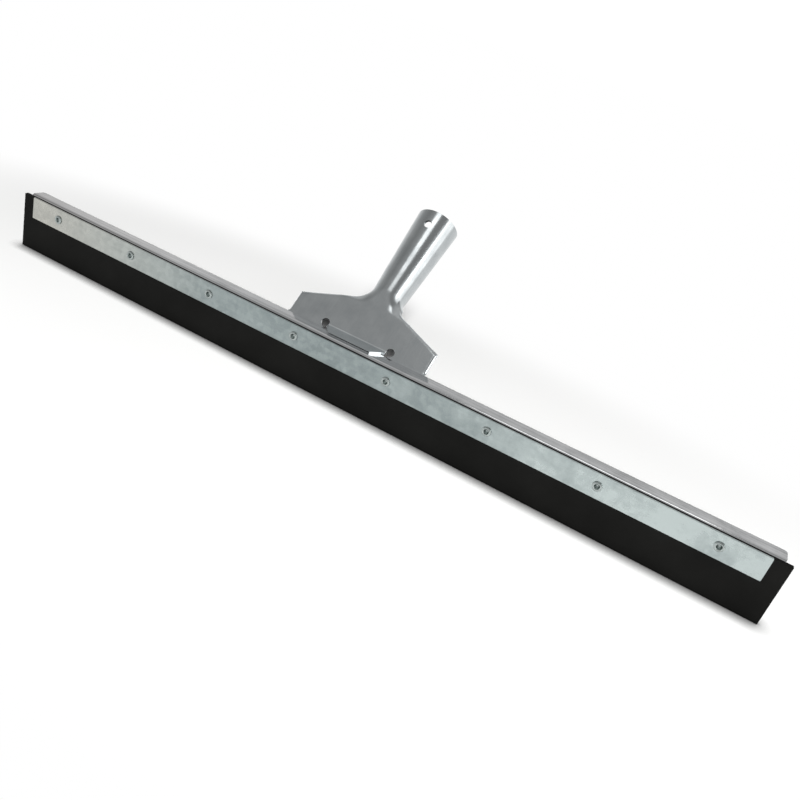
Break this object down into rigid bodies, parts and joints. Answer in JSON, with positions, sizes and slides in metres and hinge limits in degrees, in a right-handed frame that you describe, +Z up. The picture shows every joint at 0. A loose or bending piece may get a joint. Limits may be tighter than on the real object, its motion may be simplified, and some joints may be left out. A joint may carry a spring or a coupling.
{
  "type": "floor squeegee",
  "caption": "Floor squeegee head with a black rubber blade riveted between zinc-coated steel strips and a pressed, leaning handle socket",
  "frame": {"origin": "middle of the rubber's lip, on the floor line, halfway along the blade and halfway through its thickness", "axes": "+X along the blade, +Z up from the lip, -Y towards the riveted front, so the handle socket leans back towards +Y"},
  "size_m": [0.61, 0.1204, 0.1314],
  "materials": {
    "rubber": "matt black moulded rubber",
    "galvanised_strip": "galvanised sheet with a faint spangle",
    "galvanised_angle": "galvanised sheet, smooth and slightly mirroring",
    "zinc_socket": "bright zinc-plated pressed sheet",
    "rivet_steel": "zinc-plated semi-tubular rivet"
  },
  "bodies": {
    "root": {"rubber_blade": "rubber", "clamp_strip": "galvanised_strip", "back_angle": "galvanised_angle", "socket_bracket": "zinc_socket", "rivet_1": "rivet_steel", "rivet_2": "rivet_steel", "rivet_3": "rivet_steel", "rivet_4": "rivet_steel", "rivet_5": "rivet_steel", "rivet_6": "rivet_steel", "rivet_7": "rivet_steel", "rivet_8": "rivet_steel"}
  },
  "joints": []
}
